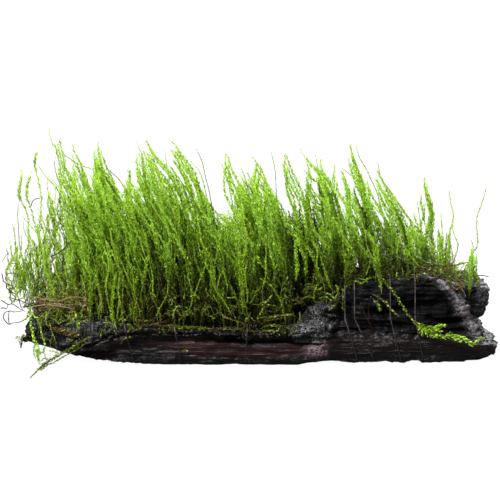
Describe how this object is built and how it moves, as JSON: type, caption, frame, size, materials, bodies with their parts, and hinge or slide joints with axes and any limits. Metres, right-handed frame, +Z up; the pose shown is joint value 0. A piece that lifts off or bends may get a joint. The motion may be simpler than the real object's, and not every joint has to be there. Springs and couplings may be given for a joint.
{
  "type": "moss on driftwood",
  "caption": "Low split length of dark driftwood whose top is covered with tall, fine moss shoots tied on with a thin wound thread.",
  "frame": {"origin": "on the flat underside of the driftwood, near the middle of its length and depth", "axes": "+X along the driftwood to its taller end, +Y away from the front that the picture shows, +Z up out of the moss"},
  "size_m": [0.1521, 0.062, 0.0712],
  "materials": {
    "wood": "waterlogged and nearly black, wet sheen on a rough split grain",
    "moss": "fine leafy shoots, translucent yellow-green at the tips and dark green below",
    "thread": "thin pale grey thread, slightly glossy"
  },
  "bodies": {
    "root": {"driftwood": "wood", "binding_thread": "thread", "moss_left_end": "moss", "moss_left": "moss", "moss_left_middle": "moss", "moss_middle_left": "moss", "moss_middle": "moss", "moss_middle_right": "moss", "moss_right": "moss", "moss_right_crest": "moss", "moss_right_end": "moss", "shoot_over_right_face": "moss", "shoot_over_left_end": "moss", "shoot_on_the_table": "moss"}
  },
  "joints": []
}
